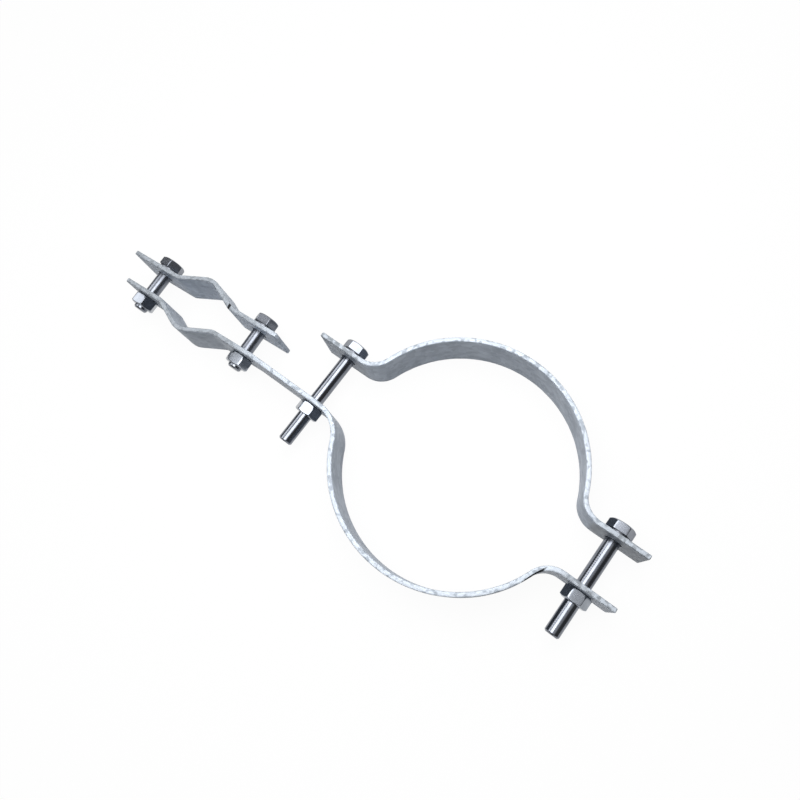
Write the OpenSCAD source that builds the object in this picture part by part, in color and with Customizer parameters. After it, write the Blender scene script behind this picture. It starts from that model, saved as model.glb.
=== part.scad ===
// Pole band with a cable jaw. Two half bands of flat bar are drawn together round a pole by two
// long bolts. The lower bar runs on past the band as an arm and ends in a vee, and a short vee
// plate bolted over it holds cables. The pole stands along Z, the bolts lie along Y, and the
// origin is on the pole's axis at the middle of the bar's width.

/* [Flat bar] */
// Width of the bar, along the pole
bar_w = 40; // [30:1:60]
// Thickness of the bar
bar_t = 4; // [3:0.5:6]

/* [Band] */
// Diameter of the pole that the halves are bent to
pole_d = 190; // [150:5:240]
// Angle of the bends into the plain flanges
flange_angle = 69; // [64:0.5:73]
// Inside radius of the bends into the plain flanges
flange_bend_r = 18; // [10:1:26]
// Angle of the bend into the arm
arm_angle = 63.6; // [60:0.1:68]
// Inside radius of the bend into the arm
arm_bend_r = 28; // [14:1:34]
// Flat bar left between a nut's corners and the nearest bend
bolt_margin = 0.5; // [0.5:0.5:8]
// From a band bolt's axis to the end of its flange
flange_end = 25; // [16:1:40]

/* [Arm] */
// From the left band bolt's axis to the set in the arm
arm_l = 64; // [40:1:120]
// Angle that the arm's end is set over, away from the pole
set_angle = 3.8; // [0.5:0.1:10]
// From the set to the axis of the nearer jaw bolt
set_margin = 15; // [12:1:30]

/* [Cable jaw] */
// Distance between the jaw bolts
jaw_bolt_pitch = 110; // [100:1:140]
// Gap between the jaw's flanges
jaw_gap = 21; // [12:1:40]
// Width of the vee where it leaves the flanges
vee_w = 58; // [40:1:70]
// Slope of the vee's sides
vee_angle = 25; // [15:1:32]
// Inside radius of the vee's apex
apex_r = 14; // [6:0.5:18]
// Inside radius of the bends at the vee's feet
foot_r = 8; // [4:0.5:10]
// From a jaw bolt's axis to the end of the arm
jaw_end = 14; // [12:0.5:30]
// From a jaw bolt's axis to the end of the jaw plate
plate_end = 24.5; // [14:0.5:30]

/* [Bolts and nuts] */
// Thread diameter
bolt_d = 12; // [10:1:14]
// Width across the flats of heads and nuts
across_flats = 19; // [18:1:22]
// Height of a bolt head
head_h = 7.5; // [6:0.5:9]
// Height of a nut
nut_h = 10; // [8:0.5:12]
// Length of band bolt past its nut
band_tip = 27; // [15:1:40]
// Length of jaw bolt past its nut
jaw_tip = 3; // [2:0.5:15]
// Bevel on a bolt's tip
tip_bevel = 1.2; // [0.6:0.1:2]
// Room for a bolt in the bar's holes, across the diameter
hole_room = 2; // [1:0.5:3]
// Gap between a nut's bore and the bolt, on the radius
thread_gap = 0.05; // [0.02:0.01:0.1]
// Gap between a nut and the bar that it turns on
nut_gap = 0.1; // [0.05:0.05:0.3]

/* [Lock washers] */
// Thickness of the washer's wire
washer_t = 3.1; // [2:0.1:4]
// Width of the washer's wire
washer_w = 3.1; // [2:0.1:4]
// Room for the bolt in the washer, on the radius
washer_room = 0.2; // [0.1:0.05:0.5]
// Width of the split
split_w = 1.6; // [1:0.1:2.5]
// Slant of the split from the bolt's axis
split_slant = 20; // [5:1:30]

/* [Hidden] */
$fn = 96;

zinc_bar = "#a9adb3";
zinc_bolt = "#8d9197";
zinc_nut = "#9a9ea4";
zinc_washer = "#7f8389";

// How far each hexagon was left turned, left one first
band_head_turn = [13, 56];
band_nut_turn = [4, 57];
jaw_head_turn = [46, 4];
jaw_nut_turn = [55, 9];

left = 0;
right = 1;
pole_r = pole_d / 2;
corner_r = across_flats / sqrt(3);
chamfer_slope = 30;
chamfer_d = 0.95 * across_flats;

// Where a bend out of the ring meets its flat, and how far the flat's inner face is from the axis
function bend_x(angle, r) = (pole_r + bar_t + r) * sin(angle);
function bend_offset(angle, r) = (pole_r + bar_t + r) * cos(angle) - bar_t - r;
flange_x = bend_x(flange_angle, flange_bend_r);
flange_offset = bend_offset(flange_angle, flange_bend_r);
arm_x = bend_x(arm_angle, arm_bend_r);
arm_offset = bend_offset(arm_angle, arm_bend_r);

bolt_x = max(flange_x, arm_x) + corner_r + bolt_margin;
flange_end_x = bolt_x + flange_end;
// How far the bar that each band nut turns on is from the axis, left one first, and the bolts' lengths
band_seat = [arm_offset, flange_offset];
band_bolt_l = [for (seat = band_seat) flange_offset + seat + 2 * bar_t + washer_t + nut_gap + nut_h + band_tip];

// The jaw's own frame has its origin on the arm's inner face, midway between the jaw bolts
set_x = bolt_x + arm_l;
jaw_reach = set_margin + jaw_bolt_pitch / 2;
jaw_origin = [-set_x - jaw_reach * cos(set_angle), -arm_offset - jaw_reach * sin(set_angle)];
jaw_bolt_x = jaw_bolt_pitch / 2;
function turned(p) = p.x * [cos(set_angle), sin(set_angle)] + p.y * [-sin(set_angle), cos(set_angle)];
function in_jaw_frame(points, flipped) = [for (p = points) turned([p.x, flipped ? jaw_gap - p.y : p.y])];
jaw_bolt_l = jaw_gap + 2 * bar_t + washer_t + nut_gap + nut_h + jaw_tip;

// Centres of the vee's bends, at its apex and at its right foot
vee_apex = [0, apex_r / cos(vee_angle) - vee_w / 2 * tan(vee_angle)];
vee_foot = [vee_w / 2 + (foot_r + bar_t) * tan(vee_angle / 2), -foot_r - bar_t];

// Arcs that blend into a flat are drawn larger by this, so that they cross it
blend = 0.004;
// How far a cut reaches past what it cuts
margin = 1;
// How far the arm and the jaw's bar run past the set, into each other
set_lap = 1;

// A flat shape drawn out to the bar's width, and over it at both edges
module slab(over) {
    linear_extrude(bar_w + 2 * over, center = true) children();
}

// Fills the corner inside a patch up to an arc about the patch's first point
module fillet(patch, r, over) {
    slab(over) difference() {
        polygon(patch);
        translate(patch[0]) circle(r + blend);
    }
}

// A bent bar is the space inside its outer face less the space inside its inner face. The space
// modules fill what lies inside the face at depth d in the bar's thickness.
module flange_space(d, over, angle, r, reach) {
    centre = (pole_r + bar_t + r) * [sin(angle), cos(angle)];
    slab(over) translate([0, -over]) square([reach + over, bend_offset(angle, r) + d + over]);
    fillet([centre, [centre.x, 0], [0, 0]], r + bar_t - d, over);
}

module band_space(d, over, left_angle, left_r, left_reach) {
    slab(over) intersection() {
        circle(pole_r + d);
        translate([-pole_d, -over]) square(2 * pole_d);
    }
    flange_space(d, over, flange_angle, flange_bend_r, flange_end_x);
    mirror([1, 0, 0]) flange_space(d, over, left_angle, left_r, left_reach);
}

module jaw_space(d, over, left_reach, right_reach, flipped) {
    normal = [sin(vee_angle), -cos(vee_angle)];
    corner = [vee_w / 2 + d * tan(vee_angle / 2), -d];
    tangent = vee_apex + (apex_r + d) * normal;
    top = jaw_gap / 2 + over;
    ends = [-left_reach - over, right_reach + over];
    patch_l = foot_r + bar_t + 2 * margin;
    patch = [vee_foot, vee_foot + [0, patch_l], vee_foot - patch_l * normal];
    cap_w = apex_r + bar_t + margin;
    cap_y = [vee_apex.y - cap_w, tangent.y + margin];
    slab(over) polygon(in_jaw_frame([
        [ends[0], -d], [ends[1], -d], [ends[1], top], [ends[0], top]], flipped));
    slab(over) polygon(in_jaw_frame([
        corner, tangent, [-tangent.x, tangent.y], [-corner.x, corner.y], [0, top]], flipped));
    slab(over) intersection() {
        translate(in_jaw_frame([vee_apex], flipped)[0]) circle(apex_r + d + blend);
        polygon(in_jaw_frame([
            [-cap_w, cap_y[0]], [cap_w, cap_y[0]], [cap_w, cap_y[1]], [-cap_w, cap_y[1]]], flipped));
    }
    for (side = [-1, 1])
        fillet(in_jaw_frame([for (p = patch) [side * p.x, p.y]], flipped), foot_r + bar_t - d, over);
}

// Half band above the pole, with its right end as a plain flange and its left end as asked
module half_band(left_angle, left_r, left_reach) {
    difference() {
        band_space(bar_t, 0, left_angle, left_r, left_reach);
        band_space(0, margin, left_angle, left_r, left_reach);
    }
}

// Vee bar below the cables, or above them if flipped
module jaw_bar(left_reach, right_reach, flipped) {
    translate(jaw_origin) difference() {
        jaw_space(bar_t, 0, left_reach, right_reach, flipped);
        jaw_space(0, margin, left_reach, right_reach, flipped);
    }
}

// Turns what stands along Z so that it stands along +Y
module along_y() {
    rotate([-90, 0, 0]) children();
}

module in_jaw() {
    translate(jaw_origin) rotate(set_angle) children();
}

// Holes through a bar whose faces are at y and y + bar_t
module bolt_holes(x_list, y) {
    for (x = x_list)
        translate([x, y - margin, 0]) along_y() cylinder(d = bolt_d + hole_room, h = bar_t + 2 * margin);
}

// Hexagon with its top corners turned off, and its bottom corners too if asked
module hexagon(h, both_ends) {
    reach = corner_r + 1;
    rise = (reach - chamfer_d / 2) * tan(chamfer_slope);
    intersection() {
        cylinder(r = corner_r, h = h, $fn = 6);
        rotate_extrude() polygon([
            [0, 0], [both_ends ? chamfer_d / 2 : reach, 0],
            [reach, both_ends ? rise : 0], [reach, h - rise], [chamfer_d / 2, h], [0, h]]);
    }
}

// Bolt along Z with the underside of its head at the origin
module hex_bolt(l, turn) {
    color(zinc_bolt) union() {
        rotate([0, 0, turn]) hexagon(head_h, false);
        translate([0, 0, tip_bevel - l]) cylinder(d = bolt_d, h = l - tip_bevel + head_h / 2);
        translate([0, 0, -l]) cylinder(d1 = bolt_d - 2 * tip_bevel, d2 = bolt_d, h = tip_bevel);
    }
}

// Nut along Z, its bore relieved at both ends
module hex_nut(turn) {
    bore_r = bolt_d / 2 + thread_gap;
    relief = tip_bevel / 2;
    color(zinc_nut) difference() {
        rotate([0, 0, turn]) hexagon(nut_h, true);
        translate([0, 0, -1]) cylinder(r = bore_r, h = nut_h + 2);
        for (end = [0, 1]) translate([0, 0, end * nut_h]) mirror([0, 0, end])
            translate([0, 0, -relief]) cylinder(r1 = bore_r + 2 * relief, r2 = bore_r, h = 2 * relief);
    }
}

// Split ring along Z, drawn flat as it is under a tight head
module lock_washer() {
    bore_r = bolt_d / 2 + washer_room;
    color(zinc_washer) difference() {
        cylinder(r = bore_r + washer_w, h = washer_t);
        translate([0, 0, -1]) cylinder(r = bore_r, h = washer_t + 2);
        translate([bore_r + washer_w / 2, 0, washer_t / 2]) rotate([split_slant, 0, 0])
            cube([2 * washer_w, split_w, 3 * washer_t], center = true);
    }
}

module at_band_head(side) {
    x = side == left ? -bolt_x : bolt_x;
    translate([x, flange_offset + bar_t, 0]) along_y() children();
}

// A band nut's place, its Z pointing away from the bar that it turns on
module at_band_nut(side) {
    x = side == left ? -bolt_x : bolt_x;
    translate([x, -band_seat[side] - bar_t - nut_gap - nut_h, 0]) along_y() children();
}

module at_jaw_head(side) {
    x = side == left ? -jaw_bolt_x : jaw_bolt_x;
    in_jaw() translate([x, jaw_gap + bar_t, 0]) along_y() children();
}

module at_jaw_nut(side) {
    x = side == left ? -jaw_bolt_x : jaw_bolt_x;
    in_jaw() translate([x, -bar_t - nut_gap - nut_h, 0]) along_y() children();
}

module lower_band() {
    color(zinc_bar) difference() {
        union() {
            mirror([0, 1, 0]) half_band(arm_angle, arm_bend_r, set_x + set_lap);
            jaw_bar(jaw_bolt_x + jaw_end, jaw_reach + set_lap, false);
        }
        bolt_holes([bolt_x], -flange_offset - bar_t);
        bolt_holes([-bolt_x], -arm_offset - bar_t);
        in_jaw() bolt_holes([-jaw_bolt_x, jaw_bolt_x], -bar_t);
    }
}

module upper_band() {
    color(zinc_bar) difference() {
        half_band(flange_angle, flange_bend_r, flange_end_x);
        bolt_holes([-bolt_x, bolt_x], flange_offset);
    }
}

module jaw_plate() {
    plate_reach = jaw_bolt_x + plate_end;
    color(zinc_bar) difference() {
        jaw_bar(plate_reach, plate_reach, true);
        in_jaw() bolt_holes([-jaw_bolt_x, jaw_bolt_x], jaw_gap);
    }
}

module band_bolt(side) {
    at_band_head(side) translate([0, 0, washer_t]) hex_bolt(band_bolt_l[side], band_head_turn[side]);
}

module jaw_bolt(side) {
    at_jaw_head(side) translate([0, 0, washer_t]) hex_bolt(jaw_bolt_l, jaw_head_turn[side]);
}

lower_band();
upper_band();
jaw_plate();
band_bolt(left);  // band_bolt_left
band_bolt(right);  // band_bolt_right
jaw_bolt(left);  // jaw_bolt_left
jaw_bolt(right);  // jaw_bolt_right
at_band_nut(left) hex_nut(band_nut_turn[left]);  // band_nut_left
at_band_nut(right) hex_nut(band_nut_turn[right]);  // band_nut_right
at_jaw_nut(left) hex_nut(jaw_nut_turn[left]);  // jaw_nut_left
at_jaw_nut(right) hex_nut(jaw_nut_turn[right]);  // jaw_nut_right
at_band_head(left) lock_washer();  // band_washer_left
at_band_head(right) lock_washer();  // band_washer_right
at_jaw_head(left) lock_washer();  // jaw_washer_left
at_jaw_head(right) lock_washer();  // jaw_washer_right
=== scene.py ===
# Pole band with a cable jaw: two bent half bands and a jaw plate of galvanised flat bar, four bolts, nuts and
# lock washers. Sizes in the dictionaries are in mm, angles in degrees.
import math

import bmesh
import bpy
from mathutils import Matrix, Quaternion, Vector


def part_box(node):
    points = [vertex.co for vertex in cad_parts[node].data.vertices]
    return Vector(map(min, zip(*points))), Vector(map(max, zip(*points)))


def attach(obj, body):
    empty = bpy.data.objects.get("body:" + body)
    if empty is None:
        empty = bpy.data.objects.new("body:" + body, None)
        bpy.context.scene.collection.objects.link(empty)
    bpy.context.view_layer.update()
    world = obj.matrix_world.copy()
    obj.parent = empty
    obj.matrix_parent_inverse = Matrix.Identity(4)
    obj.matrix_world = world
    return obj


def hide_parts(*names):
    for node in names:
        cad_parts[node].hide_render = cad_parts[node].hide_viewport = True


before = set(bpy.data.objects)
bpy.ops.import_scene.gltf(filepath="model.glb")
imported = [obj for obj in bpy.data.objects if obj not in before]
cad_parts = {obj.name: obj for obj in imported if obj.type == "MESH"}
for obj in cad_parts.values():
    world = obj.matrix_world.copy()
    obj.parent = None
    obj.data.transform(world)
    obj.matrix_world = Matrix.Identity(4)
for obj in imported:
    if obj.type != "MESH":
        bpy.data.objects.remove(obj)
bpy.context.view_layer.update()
mm = 0.001
sharpAngle = 35  # edges that turn by more than this stay crisp
noiseReach = {"From Min": 0.3, "From Max": 0.7}  # most values of a noise texture lie between these
print("frame loaded,", len(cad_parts), "nodes")


def linearColour(hexCode):
    channels = [int(hexCode[i:i + 2], 16) / 255 for i in (1, 3, 5)]
    return [c / 12.92 if c <= 0.04045 else ((c + 0.055) / 1.055) ** 2.4 for c in channels] + [1.0]


# Adds a node, sets its options and unlinked inputs, and links the rest
def put(tree, kind, options=None, values=None, links=None):
    node = tree.nodes.new(kind)
    for name, value in (options or {}).items():
        setattr(node, name, value)
    for name, value in (values or {}).items():
        node.inputs[name].default_value = value
    for name, source in (links or {}).items():
        tree.links.new(source, node.inputs[name])
    return node


def addObject(name, data):
    item = bpy.data.objects.new(name, data)
    bpy.context.scene.collection.objects.link(item)
    return item


# Camera, where the photograph was taken from
cameraSetup = {
    "place": (77.5, -68.8, 504.4),
    "azimuth": 59.64,
    "elevation": 71.46,
    "roll": -23.75,
    "focalPixels": 657,
    "imagePixels": 800,
    "sensorWidth": 36,
    "nearest": 10,
}


def addCamera(setup):
    turn, lift = math.radians(setup["azimuth"]), math.radians(setup["elevation"])
    back = Vector((math.sin(turn) * math.cos(lift), -math.cos(turn) * math.cos(lift), math.sin(lift)))
    camera = addObject("camera", bpy.data.cameras.new("camera"))
    camera.data.sensor_width = setup["sensorWidth"]
    camera.data.lens = setup["sensorWidth"] * setup["focalPixels"] / setup["imagePixels"]
    camera.rotation_mode = "QUATERNION"
    camera.rotation_quaternion = (-back).to_track_quat("-Z", "Y") @ Quaternion(
        (0, 0, 1), math.radians(setup["roll"]))
    camera.location = Vector(setup["place"]) * mm
    camera.data.clip_start = setup["nearest"] * mm
    bpy.context.scene.camera = camera


# Studio: a white floor, a soft box overhead, a weaker one on the left, dim walls and a pale wall at the back
studio = {
    "floorSize": 8000,
    "floorSeen": "#f4f4f4",
    "floorBounce": "#67696c",  # for the light that the floor throws back
    "floorGlow": 0.95,
    "softBoxes": [
        {"name": "topBox", "place": (-110, 100, 600), "aim": (-110, 100, 0), "size": (390, 700),
         "brightness": 4.6},
        {"name": "sideBox", "place": (-1150, 100, 950), "aim": (0, 0, 0), "size": (700, 700),
         "brightness": 2.8},
    ],
    "walls": [(0.0, 0.22), (0.2, 0.1), (0.78, 0.1), (0.93, 0.8)],  # sine of the angle above the floor, grey
    "backWall": 0.5,
    "backWallReach": {"From Min": 0.35, "From Max": 0.7},
}


def addStudio(setup):
    scene = bpy.context.scene
    scene.view_settings.view_transform = "Standard"
    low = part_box("upper_band")[0].z
    half = setup["floorSize"] * mm / 2
    mesh = bpy.data.meshes.new("floor")
    mesh.from_pydata([(-half, -half, low), (half, -half, low), (half, half, low), (-half, half, low)],
                     [], [(0, 1, 2, 3)])
    floor = addObject("floor", mesh)

    # Matt white paper: where it is seen it mostly glows, and the lit rest keeps the shadows. The light that
    # it throws back is greyer, so that it lights the object less from below.
    paper = bpy.data.materials.new("mattWhitePaper")
    paper.use_nodes = True
    tree = paper.node_tree
    tree.nodes.clear()
    path = put(tree, "ShaderNodeLightPath")
    seen = put(tree, "ShaderNodeMath", {"operation": "ADD", "use_clamp": True},
               links={0: path.outputs["Is Camera Ray"], 1: path.outputs["Is Glossy Ray"]})
    seen = put(tree, "ShaderNodeMath", {"operation": "ADD", "use_clamp": True},
               links={0: seen.outputs[0], 1: path.outputs["Is Transmission Ray"]})
    share = put(tree, "ShaderNodeMath", {"operation": "MULTIPLY"}, {1: setup["floorGlow"]},
                {0: seen.outputs[0]})
    colour = put(tree, "ShaderNodeMix", {"data_type": "RGBA"},
                 {6: linearColour(setup["floorBounce"]), 7: linearColour(setup["floorSeen"])},
                 {0: seen.outputs[0]})
    lit = put(tree, "ShaderNodeBsdfDiffuse", links={"Color": colour.outputs[2]})
    glow = put(tree, "ShaderNodeEmission", values={"Color": (1, 1, 1, 1), "Strength": 1})
    both = put(tree, "ShaderNodeMixShader",
               links={0: share.outputs[0], 1: lit.outputs[0], 2: glow.outputs[0]})
    put(tree, "ShaderNodeOutputMaterial", links={"Surface": both.outputs[0]})
    mesh.materials.append(paper)

    for box in setup["softBoxes"]:
        light = bpy.data.lights.new(box["name"], "AREA")
        light.shape = "RECTANGLE"
        light.size, light.size_y = box["size"][0] * mm, box["size"][1] * mm
        light.energy = box["brightness"] * math.pi * light.size * light.size_y
        lamp = addObject(box["name"], light)
        lamp.location = Vector(box["place"]) * mm
        aim = Vector(box["aim"]) - Vector(box["place"])
        lamp.rotation_euler = (0, math.atan2(-aim.x, -aim.z), 0)
        lamp.visible_camera = False

    world = bpy.data.worlds.new("studioWalls")
    scene.world = world
    world.use_nodes = True
    tree = world.node_tree
    tree.nodes.clear()
    spot = put(tree, "ShaderNodeTexCoord")
    facing = put(tree, "ShaderNodeSeparateXYZ", links={0: spot.outputs["Generated"]})
    wall = put(tree, "ShaderNodeValToRGB", links={"Fac": facing.outputs["Z"]})
    stops = wall.color_ramp.elements
    while len(stops) < len(setup["walls"]):
        stops.new(0.5)  # placed below
    for stop, (where, grey) in zip(stops, setup["walls"]):
        stop.position = where
        stop.color = (grey, grey, grey, 1)
    corner = put(tree, "ShaderNodeMapRange", values=setup["backWallReach"],
                 links={"Value": facing.outputs["Y"]})
    grey = setup["backWall"]
    wall = put(tree, "ShaderNodeMix", {"data_type": "RGBA"}, {7: (grey, grey, grey, 1)},
               {0: corner.outputs[0], 6: wall.outputs[0]})
    light = put(tree, "ShaderNodeBackground", links={"Color": wall.outputs[2]})
    put(tree, "ShaderNodeOutputWorld", links={"Surface": light.outputs[0]})


addCamera(cameraSetup)
addStudio(studio)
print("camera and studio set")


def startMaterial(name):
    material = bpy.data.materials.new(name)
    material.use_nodes = True
    tree = material.node_tree
    tree.nodes.clear()
    spot = put(tree, "ShaderNodeTexCoord").outputs["Object"]
    return material, tree, spot


# Hot-dip galvanised mild steel: dull blue-grey zinc with faint crystals, grit and cloudy patches
barZinc = {
    "pale": "#d0d9e5",
    "dark": "#a9b3c0",
    # Painted highlight on the rims' bead tops, and painted shade in the hollows between them
    "bead": "#d6dee8",
    "paintedHollowShade": "#949ca5",
    # The dull colour is also painted shade on the upper flanges' inner faces
    "dullZincAndShade": "#7f8489",
    # Painted crease shade, for the two dark marks at bends
    "paintedCreaseShade": "#1b1d21",
    "metallic": 0.12,
    "specular": 0.15,
    "roughSmooth": 0.36,
    "roughDull": 0.56,
    "cloudSize": 22.0,
    "crystalSize": 4.2,
    "crystalShare": 0.22,
    "gritSize": 2.4,  # coarser than real grit, so that it shows
    "gritHeight": 0.03,
    "lumpSize": 4.5,
    "lumpHeight": 0.4,
    "bumpStrength": 0.6,
    "beadSize": 3.0,
    "beadSwell": {"From Min": 0.3, "From Max": 0.48},
    "beadTops": {"From Min": 0.46, "From Max": 0.6},
    "rimShare": 0.65,
    "rimStart": 18.9,
    "rimEnd": 19.5,
    "patchCore": 0.7,  # a patch is full up to this share of its half size, and fades out from there
    "patches": [
        {"colour": "dullZincAndShade", "share": 0.75, "beads": 0.15, "place": (-290, -20, 20), "turn": 3.8,
         "halfSize": (125, 60, 1.0)},
        {"colour": "dullZincAndShade", "share": 0.7, "beads": 0.6, "place": (-135, 22, 20), "turn": 0,
         "halfSize": (36, 14, 1.0)},
        {"colour": "dullZincAndShade", "share": 0.7, "beads": 0.6, "place": (140, 0, 20), "turn": 0,
         "halfSize": (45, 50, 1.0)},
        # Painted shade on the inner faces of the upper flanges, where they face each other across the gap
        {"colour": "dullZincAndShade", "share": 0.4, "beads": 0.0, "place": (-135, 19.8, 0), "turn": 0,
         "halfSize": (36, 1.2, 40)},
        {"colour": "dullZincAndShade", "share": 0.65, "beads": 0.0, "place": (140, 19.8, 0), "turn": 0,
         "halfSize": (45, 1.2, 40)},
        # Painted shade: dark lines where a bend's crease turns away, laid across the top rim
        {"colour": "paintedCreaseShade", "share": 1.0, "beads": 0.0, "place": (-232.4, -3.1, 20), "turn": 103.6,
         "halfSize": (5, 1.4, 5)},
        {"colour": "paintedCreaseShade", "share": 1.0, "beads": 0.0, "place": (92.5, -35.4, 20), "turn": 67,
         "halfSize": (12, 1.3, 5)},
    ],
}


def hotDipZinc(setup):
    material, tree, spot = startMaterial("hotDipGalvanisedSteel")
    cloud = put(tree, "ShaderNodeTexNoise", values={"Scale": 1 / (setup["cloudSize"] * mm), "Detail": 4},
                links={"Vector": spot})
    crystal = put(tree, "ShaderNodeTexVoronoi", values={"Scale": 1 / (setup["crystalSize"] * mm)},
                  links={"Vector": spot})
    facet = put(tree, "ShaderNodeSeparateColor", links={0: crystal.outputs["Color"]})
    grit = put(tree, "ShaderNodeTexNoise", values={"Scale": 1 / (setup["gritSize"] * mm), "Detail": 1},
               links={"Vector": spot})
    lump = put(tree, "ShaderNodeTexNoise", values={"Scale": 1 / (setup["lumpSize"] * mm), "Detail": 1},
               links={"Vector": spot})
    tone = put(tree, "ShaderNodeMix", values={0: setup["crystalShare"]},
               links={2: cloud.outputs["Fac"], 3: facet.outputs[0]})
    tone = put(tree, "ShaderNodeMapRange", values=noiseReach, links={"Value": tone.outputs[0]})
    colour = put(tree, "ShaderNodeMix", {"data_type": "RGBA"},
                 {6: linearColour(setup["dark"]), 7: linearColour(setup["pale"])},
                 {0: tone.outputs[0]})

    # Along the rims the zinc ran off in beads; their tops are painted paler as a highlight, and the hollows
    # between them darker as painted shade
    bead = put(tree, "ShaderNodeTexNoise", values={"Scale": 1 / (setup["beadSize"] * mm), "Detail": 0},
               links={"Vector": spot})
    swell = put(tree, "ShaderNodeMapRange", values=setup["beadSwell"], links={"Value": bead.outputs["Fac"]})
    paintedBeadShading = put(tree, "ShaderNodeMix", {"data_type": "RGBA"},
                  {6: linearColour(setup["paintedHollowShade"]), 7: linearColour(setup["bead"])},
                  {0: swell.outputs[0]})
    height = put(tree, "ShaderNodeSeparateXYZ", links={0: spot})
    height = put(tree, "ShaderNodeMath", {"operation": "ABSOLUTE"}, links={0: height.outputs["Z"]})
    rim = put(tree, "ShaderNodeMapRange",
              values={"From Min": setup["rimStart"] * mm, "From Max": setup["rimEnd"] * mm,
                      "To Max": setup["rimShare"]},
              links={"Value": height.outputs[0]})
    colour = put(tree, "ShaderNodeMix", {"data_type": "RGBA"},
                 links={0: rim.outputs[0], 6: colour.outputs[2], 7: paintedBeadShading.outputs[2]})

    # Thinner, duller zinc on the flanges' and the jaw's top rims, where beads may show through. The same dull
    # colour is painted shade on the upper flanges' inner faces, in the gap between them, and two dark marks
    # are painted crease shade at bends
    for patch in setup["patches"]:
        near = put(tree, "ShaderNodeMapping", {"vector_type": "TEXTURE"},
                   {"Location": Vector(patch["place"]) * mm, "Rotation": (0, 0, math.radians(patch["turn"])),
                    "Scale": Vector(patch["halfSize"]) * mm}, {"Vector": spot})
        near = put(tree, "ShaderNodeVectorMath", {"operation": "LENGTH"}, links={0: near.outputs[0]})
        near = put(tree, "ShaderNodeMapRange",
                   values={"From Min": 1.0, "From Max": setup["patchCore"], "To Max": patch["share"]},
                   links={"Value": near.outputs["Value"]})
        covered = put(tree, "ShaderNodeMapRange",
                      values={**setup["beadTops"], "To Min": 1.0, "To Max": 1 - patch["beads"]},
                      links={"Value": bead.outputs["Fac"]})
        near = put(tree, "ShaderNodeMath", {"operation": "MULTIPLY"},
                   links={0: near.outputs[0], 1: covered.outputs[0]})
        colour = put(tree, "ShaderNodeMix", {"data_type": "RGBA"}, {7: linearColour(setup[patch["colour"]])},
                     {0: near.outputs[0], 6: colour.outputs[2]})

    rough = put(tree, "ShaderNodeMapRange",
                values={**noiseReach, "To Min": setup["roughSmooth"], "To Max": setup["roughDull"]},
                links={"Value": grit.outputs["Fac"]})
    rise = put(tree, "ShaderNodeBump",
               values={"Strength": setup["bumpStrength"], "Distance": setup["lumpHeight"] * mm},
               links={"Height": lump.outputs["Fac"]})
    rise = put(tree, "ShaderNodeBump",
               values={"Strength": setup["bumpStrength"], "Distance": setup["gritHeight"] * mm},
               links={"Height": grit.outputs["Fac"], "Normal": rise.outputs[0]})
    surface = put(tree, "ShaderNodeBsdfPrincipled",
                  values={"Metallic": setup["metallic"], "Specular IOR Level": setup["specular"]},
                  links={"Base Color": colour.outputs[2], "Roughness": rough.outputs[0],
                         "Normal": rise.outputs[0]})
    put(tree, "ShaderNodeOutputMaterial", links={"Surface": surface.outputs[0]})
    return material


# Zinc plated steel: smooth off the machine, with faint smears and fine marks. The long bolts and the nuts
# mirror the studio, the short bolts blur it, and the spring washers are dull.
boltZinc = {"name": "zincPlatedBolt", "pale": "#82868e", "dark": "#70747c", "smearSize": 9.0, "markSize": 1.5,
            "markHeight": 0.004, "markStrength": 0.5, "roughSmooth": 0.14, "roughDull": 0.2}
jawBoltZinc = {**boltZinc, "name": "dullZincPlatedBolt", "roughSmooth": 0.24, "roughDull": 0.32}
nutZinc = {"name": "zincPlatedNut", "pale": "#959aa2", "dark": "#80858d", "smearSize": 6.0, "markSize": 1.5,
           "markHeight": 0.006, "markStrength": 0.5, "roughSmooth": 0.1, "roughDull": 0.16}
washerZinc = {"name": "zincPlatedSpringSteel", "pale": "#7d8087", "dark": "#5d6067", "smearSize": 4.0,
              "markSize": 0.7, "markHeight": 0.03, "markStrength": 0.5, "roughSmooth": 0.3, "roughDull": 0.45}


def platedZinc(setup):
    material, tree, spot = startMaterial(setup["name"])
    smear = put(tree, "ShaderNodeTexNoise", values={"Scale": 1 / (setup["smearSize"] * mm), "Detail": 4},
                links={"Vector": spot})
    mark = put(tree, "ShaderNodeTexNoise", values={"Scale": 1 / (setup["markSize"] * mm), "Detail": 3},
               links={"Vector": spot})
    tone = put(tree, "ShaderNodeMapRange", values=noiseReach, links={"Value": smear.outputs["Fac"]})
    colour = put(tree, "ShaderNodeMix", {"data_type": "RGBA"},
                 {6: linearColour(setup["dark"]), 7: linearColour(setup["pale"])},
                 {0: tone.outputs[0]})
    rough = put(tree, "ShaderNodeMapRange",
                values={**noiseReach, "To Min": setup["roughDull"], "To Max": setup["roughSmooth"]},
                links={"Value": smear.outputs["Fac"]})
    rise = put(tree, "ShaderNodeBump",
               values={"Strength": setup["markStrength"], "Distance": setup["markHeight"] * mm},
               links={"Height": mark.outputs["Fac"]})
    surface = put(tree, "ShaderNodeBsdfPrincipled", values={"Metallic": 1.0},
                  links={"Base Color": colour.outputs[2], "Roughness": rough.outputs[0],
                         "Normal": rise.outputs[0]})
    put(tree, "ShaderNodeOutputMaterial", links={"Surface": surface.outputs[0]})
    return material


barFinish = hotDipZinc(barZinc)
boltFinish = platedZinc(boltZinc)
jawBoltFinish = platedZinc(jawBoltZinc)
nutFinish = platedZinc(nutZinc)
washerFinish = platedZinc(washerZinc)
print("materials made")


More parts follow.
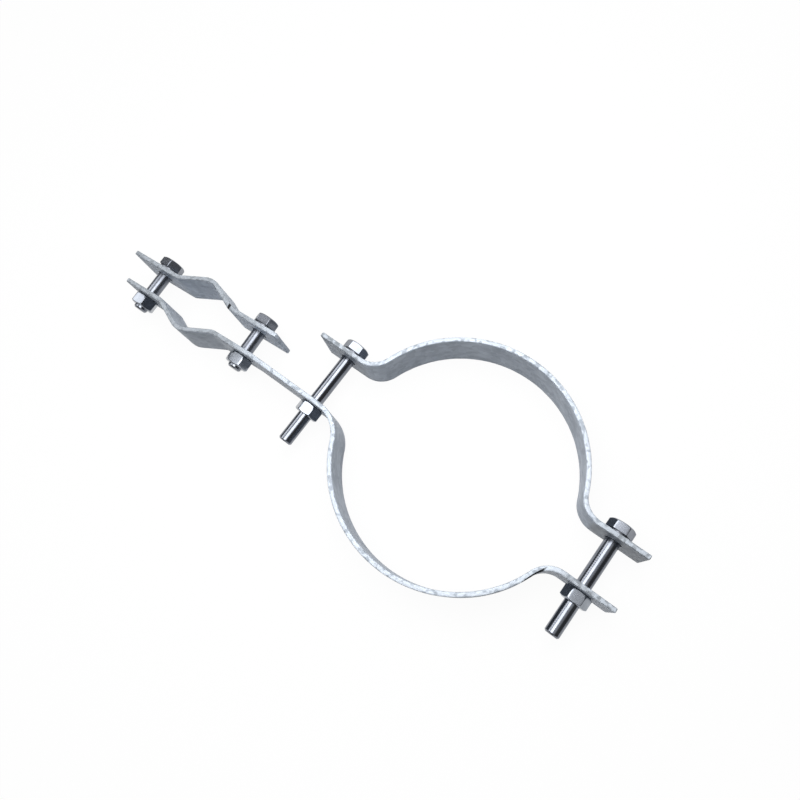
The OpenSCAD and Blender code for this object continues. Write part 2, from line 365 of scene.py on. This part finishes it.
# Takes what the modifiers make as a plain mesh, in a new object, and clears the helpers away
def asPlainPiece(name, source, helpers=()):
    bpy.context.view_layer.update()
    graph = bpy.context.evaluated_depsgraph_get()
    mesh = bpy.data.meshes.new_from_object(source.evaluated_get(graph))
    source.modifiers.clear()
    for item in (source, *helpers):
        bpy.data.objects.remove(item)
    mesh.name = name
    mesh.set_sharp_from_angle(angle=math.radians(sharpAngle))
    return addObject(name, mesh)


# Gives a finished piece to its body, in place of its solid, and prints how far their boxes' corners differ
def handOver(piece, node, body):
    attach(piece, body)
    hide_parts(node)
    low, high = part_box(node)
    corners = [Vector(c) for c in piece.bound_box]
    off = max((corners[0] - low).length, (corners[6] - high).length)
    print(piece.name, len(piece.data.polygons), "faces,", round(off / mm, 3), "mm from its solid's box")


# Adds a node modifier and sets its inputs by the identifiers of the sockets with these names
def addTree(item, tree, sizes):
    modifier = item.modifiers.new(tree.name, "NODES")
    modifier.node_group = tree
    for socket in tree.interface.items_tree:
        if socket.in_out == "INPUT" and socket.name in sizes:
            modifier[socket.identifier] = sizes[socket.name]


def startTree(name, floats=(), objects=(), materials=()):
    tree = bpy.data.node_groups.new(name, "GeometryNodeTree")
    tree.interface.new_socket("Geometry", in_out="INPUT", socket_type="NodeSocketGeometry")
    for kind, names in (("Float", floats), ("Object", objects), ("Material", materials)):
        for socketName in names:
            tree.interface.new_socket(socketName, in_out="INPUT", socket_type="NodeSocket" + kind)
    tree.interface.new_socket("Geometry", in_out="OUTPUT", socket_type="NodeSocketGeometry")
    return tree, put(tree, "NodeGroupInput").outputs


# The flat bar, the same for all three bent pieces
bar = {"width": 40, "thickness": 4, "edgeRadius": 0.9, "edgeSteps": 6, "step": 1.1, "sectionStep": 0.7,
       "endRound": 1.2, "endAngle": 60, "endSteps": 3, "dentHeight": 0.1, "dentSize": 5.0, "beadHeight": 0.35,
       "holeDiameter": 14, "holePoints": 64, "drillThicknesses": 3}


# Bends a flat bar along a path: a rounded section is carried along the line of edges
def bentBarTree():
    tree, sizes = startTree("bentBar", ("Width", "Thickness", "Edge Radius", "Step", "Section Step"))
    line = put(tree, "GeometryNodeMeshToCurve", links={"Mesh": sizes["Geometry"]})
    line = put(tree, "GeometryNodeResampleCurve", {"mode": "LENGTH"},
               links={"Curve": line.outputs[0], "Length": sizes["Step"]})
    line = put(tree, "GeometryNodeSetCurveNormal", {"mode": "Z_UP"}, links={"Curve": line.outputs[0]})
    section = put(tree, "GeometryNodeCurvePrimitiveQuadrilateral",
                  links={"Width": sizes["Thickness"], "Height": sizes["Width"]})
    section = put(tree, "GeometryNodeFilletCurve", {"mode": "POLY"}, {"Count": bar["edgeSteps"]},
                  {"Curve": section.outputs[0], "Radius": sizes["Edge Radius"]})
    section = put(tree, "GeometryNodeResampleCurve", {"mode": "LENGTH"},
                  links={"Curve": section.outputs[0], "Length": sizes["Section Step"]})
    bent = put(tree, "GeometryNodeCurveToMesh", values={"Fill Caps": True},
               links={"Curve": line.outputs[0], "Profile Curve": section.outputs[0]})
    put(tree, "NodeGroupOutput", links={"Geometry": bent.outputs[0]})
    return tree


# Drills the bar, dents its skin as drained zinc does, beads its rims and gives it its finish
def zincSkinTree():
    tree, sizes = startTree(
        "zincSkin", ("Dent Height", "Dent Size", "Bead Height", "Bead Size", "Rim Start", "Rim End"),
        ("Drills",), ("Finish",))
    drills = put(tree, "GeometryNodeObjectInfo", links={"Object": sizes["Drills"]})
    skin = put(tree, "GeometryNodeMeshBoolean", {"operation": "DIFFERENCE", "solver": "EXACT"},
               links={"Mesh 1": sizes["Geometry"], "Mesh 2": drills.outputs["Geometry"]})
    place = put(tree, "GeometryNodeInputPosition")
    height = put(tree, "ShaderNodeSeparateXYZ", links={0: place.outputs[0]})
    height = put(tree, "ShaderNodeMath", {"operation": "ABSOLUTE"}, links={0: height.outputs["Z"]})
    rim = put(tree, "ShaderNodeMapRange",
              links={"Value": height.outputs[0], "From Min": sizes["Rim Start"],
                     "From Max": sizes["Rim End"]})
    beadHeight = put(tree, "ShaderNodeMath", {"operation": "MULTIPLY"},
                     links={0: rim.outputs[0], 1: sizes["Bead Height"]})

    # Both go inwards only, so that the bar keeps within its solid
    depths = []
    for size, rise, detail in ((sizes["Dent Size"], sizes["Dent Height"], 2.0),
                               (sizes["Bead Size"], beadHeight.outputs[0], 0.0)):
        scale = put(tree, "ShaderNodeMath", {"operation": "DIVIDE"}, {0: 1.0}, {1: size})
        noise = put(tree, "ShaderNodeTexNoise", values={"Detail": detail}, links={"Scale": scale.outputs[0]})
        inward = put(tree, "ShaderNodeMath", {"operation": "SUBTRACT"}, {1: 1.0}, {0: noise.outputs[0]})
        depths.append(put(tree, "ShaderNodeMath", {"operation": "MULTIPLY"},
                          links={0: inward.outputs[0], 1: rise}))
    depth = put(tree, "ShaderNodeMath", {"operation": "ADD"},
                links={0: depths[0].outputs[0], 1: depths[1].outputs[0]})
    normal = put(tree, "GeometryNodeInputNormal")
    shift = put(tree, "ShaderNodeVectorMath", {"operation": "SCALE"},
                links={"Vector": normal.outputs[0], "Scale": depth.outputs[0]})
    skin = put(tree, "GeometryNodeSetPosition",
               links={"Geometry": skin.outputs[0], "Offset": shift.outputs[0]})
    skin = put(tree, "GeometryNodeSetShadeSmooth", links={"Geometry": skin.outputs[0]})
    skin = put(tree, "GeometryNodeRealizeInstances", links={"Geometry": skin.outputs[0]})
    skin = put(tree, "GeometryNodeSetMaterial",
               links={"Geometry": skin.outputs[0], "Material": sizes["Finish"]})
    put(tree, "NodeGroupOutput", links={"Geometry": skin.outputs[0]})
    return tree


# Walks along a bar's middle line: ("run", length), or ("bend", angle, radius) with left turns positive
def barRoute(start, heading, moves, step=1.0):
    points = [Vector((start[0], start[1], 0))]
    turn = math.radians(heading)
    for move in moves:
        if move[0] == "run":
            points.append(points[-1] + move[1] * Vector((math.cos(turn), math.sin(turn), 0)))
            continue
        angle, radius = math.radians(move[1]), move[2]
        side = math.copysign(1, angle)
        centre = points[-1] + side * radius * Vector((-math.sin(turn), math.cos(turn), 0))
        count = max(2, math.ceil(abs(angle) * radius / step))
        for i in range(1, count + 1):
            there = turn + angle * i / count
            points.append(centre + side * radius * Vector((math.sin(there), -math.cos(there), 0)))
        turn += angle
    return points


# The bends of the band and of the jaw. Radii are to the bar's middle line.
band = {"ringRadius": 97, "flangeAngle": 69, "flangeRadius": 20, "armAngle": 63.6, "armRadius": 30,
        "flangeEnd": 25, "armLength": 64, "setRadius": 8}
jaw = {"gap": 21, "veeAngle": 25, "apexRadius": 16, "footRadius": 10, "veeWidth": 58, "setMargin": 15,
       "armEnd": 14, "plateEnd": 24.5}
nut = {"height": 10, "seatGap": 0.1, "boreRadius": 6.05, "relief": 0.6, "bandTurn": (4, 57),
       "jawTurn": (55, 9)}


# A nut's centre in mm. A hexagon is the same on both sides of its axis, so its box is centred on it.
def nutCentre(node):
    low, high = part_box(node)
    return (low + high) / 2 / mm


seatDepth = nut["height"] / 2 + nut["seatGap"] + bar["thickness"] / 2
bandLeft, bandRight = nutCentre("band_nut_left"), nutCentre("band_nut_right")
jawLeft, jawRight = nutCentre("jaw_nut_left"), nutCentre("jaw_nut_right")
jawAlong = (jawRight - jawLeft).normalized()
jawUp = Vector((-jawAlong.y, jawAlong.x, 0))
setAngle = math.degrees(math.atan2(jawAlong.y, jawAlong.x))
jawMiddle = (jawLeft + jawRight) / 2 + seatDepth * jawUp
jawHalfPitch = (jawRight - jawLeft).length / 2


# How far from the pole's axis a bend at the ring's end runs out into the straight
def bendReach(angle, radius):
    return (band["ringRadius"] + radius) * math.sin(math.radians(angle))


# Half the vee along the bar, and the moves from its first foot to its last
def veeMoves():
    angle = math.radians(jaw["veeAngle"])
    half = jaw["veeWidth"] / 2 + (jaw["footRadius"] + bar["thickness"] / 2) * math.tan(angle / 2)
    side = (half - (jaw["footRadius"] + jaw["apexRadius"]) * math.sin(angle)) / math.cos(angle)
    foot = ("bend", jaw["veeAngle"], jaw["footRadius"])
    apex = ("bend", -2 * jaw["veeAngle"], jaw["apexRadius"])
    return half, [foot, ("run", side), apex, ("run", side), foot]


flangeX = bendReach(band["flangeAngle"], band["flangeRadius"])
armX = bendReach(band["armAngle"], band["armRadius"])
flangeRun = bandRight.x + band["flangeEnd"] - flangeX
flangeBend = ("bend", band["flangeAngle"], band["flangeRadius"])
veeHalf, vee = veeMoves()
flangeY = bandRight.y + seatDepth
armY = bandLeft.y + seatDepth
setTangent = band["setRadius"] * math.tan(math.radians(setAngle / 2))

upperRoute = barRoute(
    (-flangeX - flangeRun, -flangeY), 0,
    [("run", flangeRun), flangeBend, ("bend", -2 * band["flangeAngle"], band["ringRadius"]), flangeBend,
     ("run", flangeRun)])
lowerRoute = barRoute(
    (flangeX + flangeRun, flangeY), 180,
    [("run", flangeRun), flangeBend,
     ("bend", -band["flangeAngle"] - band["armAngle"], band["ringRadius"]),
     ("bend", band["armAngle"], band["armRadius"]),
     ("run", -bandLeft.x + band["armLength"] - armX - setTangent),
     ("bend", setAngle, band["setRadius"]),
     ("run", jaw["setMargin"] + jawHalfPitch - veeHalf - setTangent), *vee,
     ("run", jawHalfPitch + jaw["armEnd"] - veeHalf)])
plateRun = jawHalfPitch + jaw["plateEnd"]
plateLift = jaw["gap"] + bar["thickness"]
plateStart = jawMiddle - plateRun * jawAlong + plateLift * jawUp
plateRoute = barRoute(plateStart, setAngle, [("run", plateRun - veeHalf), *vee, ("run", plateRun - veeHalf)])


def addDrills(holes):
    radius = bar["holeDiameter"] / 2 * mm
    length = bar["drillThicknesses"] * bar["thickness"] * mm
    shape = bmesh.new()
    for spot, axis in holes:
        place = Matrix.Translation(spot * mm) @ axis.to_track_quat("Z", "Y").to_matrix().to_4x4()
        bmesh.ops.create_cone(shape, cap_ends=True, segments=bar["holePoints"], matrix=place,
                              depth=length, radius1=radius, radius2=radius)
    mesh = bpy.data.meshes.new("drills")
    shape.to_mesh(mesh)
    shape.free()
    return addObject("drills", mesh)


bendTree, skinTree = bentBarTree(), zincSkinTree()


def addBar(name, node, body, route, holes):
    mesh = bpy.data.meshes.new("route")
    mesh.from_pydata([p * mm for p in route], [(i, i + 1) for i in range(len(route) - 1)], [])
    piece = addObject("route", mesh)
    drills = addDrills(holes)
    addTree(piece, bendTree, {"Width": bar["width"] * mm, "Thickness": bar["thickness"] * mm,
                              "Edge Radius": bar["edgeRadius"] * mm, "Step": bar["step"] * mm,
                              "Section Step": bar["sectionStep"] * mm})
    ends = piece.modifiers.new("roundEnds", "BEVEL")
    ends.limit_method = "ANGLE"
    ends.angle_limit = math.radians(bar["endAngle"])
    ends.width = bar["endRound"] * mm
    ends.segments = bar["endSteps"]
    addTree(piece, skinTree, {"Dent Height": bar["dentHeight"] * mm, "Dent Size": bar["dentSize"] * mm,
                              "Bead Height": bar["beadHeight"] * mm, "Bead Size": barZinc["beadSize"] * mm,
                              "Rim Start": barZinc["rimStart"] * mm, "Rim End": barZinc["rimEnd"] * mm,
                              "Drills": drills, "Finish": barFinish})
    piece = asPlainPiece(name, piece, [drills])
    handOver(piece, node, body)


# Spots on the bolts' axes: the band's at y = 0, the jaw's on the arm's middle line
yAxis = Vector((0, 1, 0))
spotOn = {
    "bandLeft": Vector((bandLeft.x, 0, 0)),
    "bandRight": Vector((bandRight.x, 0, 0)),
    "jawLeft": jawMiddle - jawHalfPitch * jawAlong,
    "jawRight": jawMiddle + jawHalfPitch * jawAlong,
}
addBar("upperHalfBand", "upper_band", "upper_half", upperRoute,
       [(spotOn["bandLeft"] - flangeY * yAxis, yAxis), (spotOn["bandRight"] - flangeY * yAxis, yAxis)])
addBar("lowerHalfBand", "lower_band", "lower_half", lowerRoute,
       [(spotOn["bandLeft"] + armY * yAxis, yAxis), (spotOn["bandRight"] + flangeY * yAxis, yAxis),
        (spotOn["jawLeft"], jawUp), (spotOn["jawRight"], jawUp)])
addBar("jawPlate", "jaw_plate", "jaw_half", plateRoute,
       [(spotOn["jawLeft"] + plateLift * jawUp, jawUp), (spotOn["jawRight"] + plateLift * jawUp, jawUp)])


# Hexagons: forged, with soft corners, and turned off at 30 degrees where a spanner goes on
hexagon = {"acrossFlats": 19, "chamferDiameter": 18.05, "chamferSlope": 30, "softness": 110, "sidePoints": 14,
           "crowding": 0.8, "chamferRings": 9, "edgeRound": 0.3, "edgeMiddle": 0.3}


# How far a hexagon reaches in one direction, where a turned radius cuts its corners off
def hexagonReach(angle, turned, inset):
    flat = hexagon["acrossFlats"] / 2 - inset
    power = hexagon["softness"]
    total = turned ** -power if turned else 0
    for side in range(6):
        facing = math.cos(angle - math.radians(60 * side + 30))
        if facing > 0:
            total += (facing / flat) ** power
    return total ** (-1 / power)


# Rings stand on each other from bottom to top: (height, turned radius or None, inset of the flats)
def hexagonMesh(name, rings, turn, joinEnds):
    count = 6 * hexagon["sidePoints"]
    angles = []
    for i in range(count):
        side, share = divmod(i / hexagon["sidePoints"], 1)
        share -= hexagon["crowding"] * math.sin(2 * math.pi * share) / (2 * math.pi)  # towards the corners
        angles.append(math.radians(60 * (side + share)))
    spin = math.radians(turn)
    points, faces = [], []
    for height, turned, inset in rings:
        for angle in angles:
            reach = hexagonReach(angle, turned, inset)
            there = angle + spin
            points.append(Vector((reach * math.cos(there), reach * math.sin(there), height)) * mm)
    levels = len(rings) if joinEnds else len(rings) - 1
    for level in range(levels):
        low, high = level * count, (level + 1) % len(rings) * count
        for i in range(count):
            j = (i + 1) % count
            faces.append((low + i, low + j, high + j, high + i))
    if not joinEnds:
        faces.append(tuple(reversed(range(count))))
        faces.append(tuple((len(rings) - 1) * count + i for i in range(count)))
    mesh = bpy.data.meshes.new(name)
    mesh.from_pydata(points, [], faces)
    mesh.shade_smooth()
    return mesh


# The turned-off corners at the top or the bottom of a hexagon, as rings between the flats and the rim
def chamferRings(height, rising):
    slope = math.tan(math.radians(hexagon["chamferSlope"]))
    rim = hexagon["chamferDiameter"] / 2
    drop = (hexagon["acrossFlats"] / math.sqrt(3) - rim) * slope
    rings = []
    for i in range(hexagon["chamferRings"] + 1):
        below = drop * (1 - i / hexagon["chamferRings"])
        rings.append((height - below if rising else below, rim + below / slope, 0))
    return rings if rising else rings[::-1]


# Bolts: a forged head, a plain neck and a rolled metric thread down to a bevelled tip. The thread is
# shallower than a real one, because the photograph shows smooth shanks.
bolt = {"diameter": 12, "roundPoints": 48, "headHeight": 7.5, "headCentre": 2.0, "tipBevel": 1.2,
        "pitch": 1.75, "threadDepth": 0.05, "grooveReach": {"From Min": 0.06, "From Max": 0.42},
        "rowsPerTurn": 10.0, "runOutTurns": 2.0, "neck": 17, "sink": 2, "jawTipPast": 3,
        "bandHeadTurn": (13, 56), "jawHeadTurn": (46, 4)}


def boltShankTree():
    tree, sizes = startTree("boltShank", ("Radius", "Length", "Sink", "Pitch", "Depth", "Neck", "Bevel"),
                            ("Head",), ("Finish",))
    whole = put(tree, "ShaderNodeMath", {"operation": "ADD"}, links={0: sizes["Length"], 1: sizes["Sink"]})
    turns = put(tree, "ShaderNodeMath", {"operation": "DIVIDE"},
                links={0: whole.outputs[0], 1: sizes["Pitch"]})
    rows = put(tree, "ShaderNodeMath", {"operation": "MULTIPLY"}, {1: bolt["rowsPerTurn"]},
               {0: turns.outputs[0]})
    rod = put(tree, "GeometryNodeMeshCylinder", values={"Vertices": bolt["roundPoints"]},
              links={"Side Segments": rows.outputs[0], "Radius": sizes["Radius"], "Depth": whole.outputs[0]})
    middle = put(tree, "ShaderNodeMath", {"operation": "SUBTRACT"},
                 links={0: sizes["Sink"], 1: sizes["Length"]})
    middle = put(tree, "ShaderNodeMath", {"operation": "MULTIPLY"}, {1: 0.5}, {0: middle.outputs[0]})
    lift = put(tree, "ShaderNodeCombineXYZ", links={"Z": middle.outputs[0]})
    rod = put(tree, "GeometryNodeTransform",
              links={"Geometry": rod.outputs["Mesh"], "Translation": lift.outputs[0]})

    # The groove's depth follows the turn and the height, and runs out into the neck
    place = put(tree, "GeometryNodeInputPosition")
    xyz = put(tree, "ShaderNodeSeparateXYZ", links={0: place.outputs[0]})
    angle = put(tree, "ShaderNodeMath", {"operation": "ARCTAN2"},
                links={0: xyz.outputs["Y"], 1: xyz.outputs["X"]})
    angle = put(tree, "ShaderNodeMath", {"operation": "DIVIDE"}, {1: 2 * math.pi}, {0: angle.outputs[0]})
    climb = put(tree, "ShaderNodeMath", {"operation": "DIVIDE"},
                links={0: xyz.outputs["Z"], 1: sizes["Pitch"]})
    phase = put(tree, "ShaderNodeMath", {"operation": "SUBTRACT"},
                links={0: climb.outputs[0], 1: angle.outputs[0]})
    wave = put(tree, "ShaderNodeMath", {"operation": "PINGPONG"}, {1: 0.5}, {0: phase.outputs[0]})
    groove = put(tree, "ShaderNodeMapRange", {"interpolation_type": "SMOOTHSTEP"}, bolt["grooveReach"],
                 {"Value": wave.outputs[0]})
    fromNeck = put(tree, "ShaderNodeMath", {"operation": "ADD"},
                   links={0: xyz.outputs["Z"], 1: sizes["Neck"]})
    runOut = put(tree, "ShaderNodeMath", {"operation": "MULTIPLY"}, {1: -bolt["runOutTurns"]},
                 {0: sizes["Pitch"]})
    runOut = put(tree, "ShaderNodeMapRange", {"interpolation_type": "SMOOTHSTEP"},
                 {"From Max": 0.0, "To Min": 1.0, "To Max": 0.0},
                 {"Value": fromNeck.outputs[0], "From Min": runOut.outputs[0]})
    cut = put(tree, "ShaderNodeMath", {"operation": "MULTIPLY"},
              links={0: groove.outputs[0], 1: runOut.outputs[0]})
    cut = put(tree, "ShaderNodeMath", {"operation": "MULTIPLY"}, links={0: cut.outputs[0], 1: sizes["Depth"]})
    threaded = put(tree, "ShaderNodeMath", {"operation": "SUBTRACT"},
                   links={0: sizes["Radius"], 1: cut.outputs[0]})

    # The tip's bevel takes over where it is the smaller radius
    fromTip = put(tree, "ShaderNodeMath", {"operation": "ADD"},
                  links={0: xyz.outputs["Z"], 1: sizes["Length"]})
    tip = put(tree, "ShaderNodeMath", {"operation": "SUBTRACT"},
              links={0: sizes["Radius"], 1: sizes["Bevel"]})
    tip = put(tree, "ShaderNodeMath", {"operation": "ADD"}, links={0: tip.outputs[0], 1: fromTip.outputs[0]})
    reach = put(tree, "ShaderNodeMath", {"operation": "MINIMUM"},
                links={0: threaded.outputs[0], 1: tip.outputs[0]})
    share = put(tree, "ShaderNodeMath", {"operation": "DIVIDE"},
                links={0: reach.outputs[0], 1: sizes["Radius"]})
    share = put(tree, "ShaderNodeCombineXYZ", values={"Z": 1.0},
                links={"X": share.outputs[0], "Y": share.outputs[0]})
    moved = put(tree, "ShaderNodeVectorMath", {"operation": "MULTIPLY"},
                links={0: place.outputs[0], 1: share.outputs[0]})
    rod = put(tree, "GeometryNodeSetPosition",
              links={"Geometry": rod.outputs[0], "Position": moved.outputs[0]})

    head = put(tree, "GeometryNodeObjectInfo", links={"Object": sizes["Head"]})
    whole = put(tree, "GeometryNodeMeshBoolean", {"operation": "UNION", "solver": "EXACT"},
                links={"Mesh 2": rod.outputs[0]})
    tree.links.new(head.outputs["Geometry"], whole.inputs["Mesh 2"])
    whole = put(tree, "GeometryNodeSetShadeSmooth", links={"Geometry": whole.outputs[0]})
    whole = put(tree, "GeometryNodeRealizeInstances", links={"Geometry": whole.outputs[0]})
    whole = put(tree, "GeometryNodeSetMaterial",
                links={"Geometry": whole.outputs[0], "Material": sizes["Finish"]})
    put(tree, "NodeGroupOutput", links={"Geometry": whole.outputs[0]})
    return tree


shankTree = boltShankTree()


# Puts a piece made along Z at a spot on a bolt's axis, and hands it over
def fitOnAxis(piece, spot, along, node, body):
    laid = Matrix.Rotation(math.radians(-90), 4, "X")
    turned = Matrix.Rotation(math.atan2(-along.x, along.y), 4, "Z") @ laid
    piece.data.transform(Matrix.Translation(spot * mm) @ turned)
    handOver(piece, node, body)


def addBolt(name, node, body, headSpot, along, length, turn, finish):
    height, centre, soft = bolt["headHeight"], bolt["headCentre"], hexagon["edgeRound"]
    middle = hexagon["edgeMiddle"] * soft
    rings = [(0, centre, 0), (0, None, soft), (middle, None, middle), (soft, None, 0)]
    rings += chamferRings(height, True) + [(height, centre, 0)]
    head = addObject("head", hexagonMesh("head", rings, turn, False))
    piece = addObject("shank", bpy.data.meshes.new("shank"))
    addTree(piece, shankTree, {"Radius": bolt["diameter"] / 2 * mm, "Length": length * mm,
                               "Sink": bolt["sink"] * mm, "Pitch": bolt["pitch"] * mm,
                               "Depth": bolt["threadDepth"] * mm, "Neck": min(bolt["neck"], length / 2) * mm,
                               "Bevel": bolt["tipBevel"] * mm, "Head": head, "Finish": finish})
    piece = asPlainPiece(name, piece, [head])
    fitOnAxis(piece, headSpot, along, node, body)


# Nuts: turned off at both ends, with the bore's mouths opened by a bevel
def addNut(name, node, body, along, turn):
    height, bore, relief = nut["height"], nut["boreRadius"], nut["relief"]
    rings = [(0, bore + relief, 0)] + chamferRings(height, False) + chamferRings(height, True)
    rings += [(height, bore + relief, 0), (height - relief, bore, 0), (relief, bore, 0)]
    mesh = hexagonMesh(name, rings, turn, True)
    mesh.set_sharp_from_angle(angle=math.radians(sharpAngle))
    mesh.materials.append(nutFinish)
    piece = addObject(name, mesh)
    fitOnAxis(piece, nutCentre(node) - height / 2 * along, along, node, body)


# Spring lock washers: the solid's own form, with its edges rounded
washer = {"thickness": 3.1, "edgeRound": 0.35, "edgeAngle": 40, "edgeSteps": 2, "mergeWithin": 0.001,
          "flatWithin": 1}


def addWasher(name, node, body):
    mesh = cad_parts[node].data.copy()
    shape = bmesh.new()
    shape.from_mesh(mesh)
    bmesh.ops.remove_doubles(shape, verts=shape.verts, dist=washer["mergeWithin"] * mm)
    bmesh.ops.dissolve_limit(shape, angle_limit=math.radians(washer["flatWithin"]), verts=shape.verts,
                             edges=shape.edges)
    shape.to_mesh(mesh)
    shape.free()
    mesh.shade_smooth()
    mesh.materials.clear()
    mesh.materials.append(washerFinish)
    piece = addObject("ring", mesh)
    edges = piece.modifiers.new("roundEdges", "BEVEL")
    edges.limit_method = "ANGLE"
    edges.angle_limit = math.radians(washer["edgeAngle"])
    edges.width = washer["edgeRound"] * mm
    edges.segments = washer["edgeSteps"]
    piece = asPlainPiece(name, piece)
    handOver(piece, node, body)


headLift = bar["thickness"] / 2 + washer["thickness"]
for side, label in enumerate(("left", "right")):
    title = label.capitalize()
    low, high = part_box("band_bolt_" + label)
    top, tip = high.y / mm - bolt["headHeight"], low.y / mm
    bandTop = spotOn["band" + title] + top * yAxis
    addBolt("bandBolt" + title, "band_bolt_" + label, "upper_half", bandTop, yAxis, top - tip,
            bolt["bandHeadTurn"][side], boltFinish)
    addNut("bandNut" + title, "band_nut_" + label, label + "_band_nut", yAxis, nut["bandTurn"][side])
    addWasher("bandWasher" + title, "band_washer_" + label, "upper_half")

    jawTop = spotOn["jaw" + title] + (plateLift + headLift) * jawUp
    jawLength = (jawTop - nutCentre("jaw_nut_" + label)).length + nut["height"] / 2 + bolt["jawTipPast"]
    addBolt("jawBolt" + title, "jaw_bolt_" + label, "jaw_half", jawTop, jawUp, jawLength,
            bolt["jawHeadTurn"][side], jawBoltFinish)
    addNut("jawNut" + title, "jaw_nut_" + label, label + "_jaw_nut", jawUp, nut["jawTurn"][side])
    addWasher("jawWasher" + title, "jaw_washer_" + label, "jaw_half")
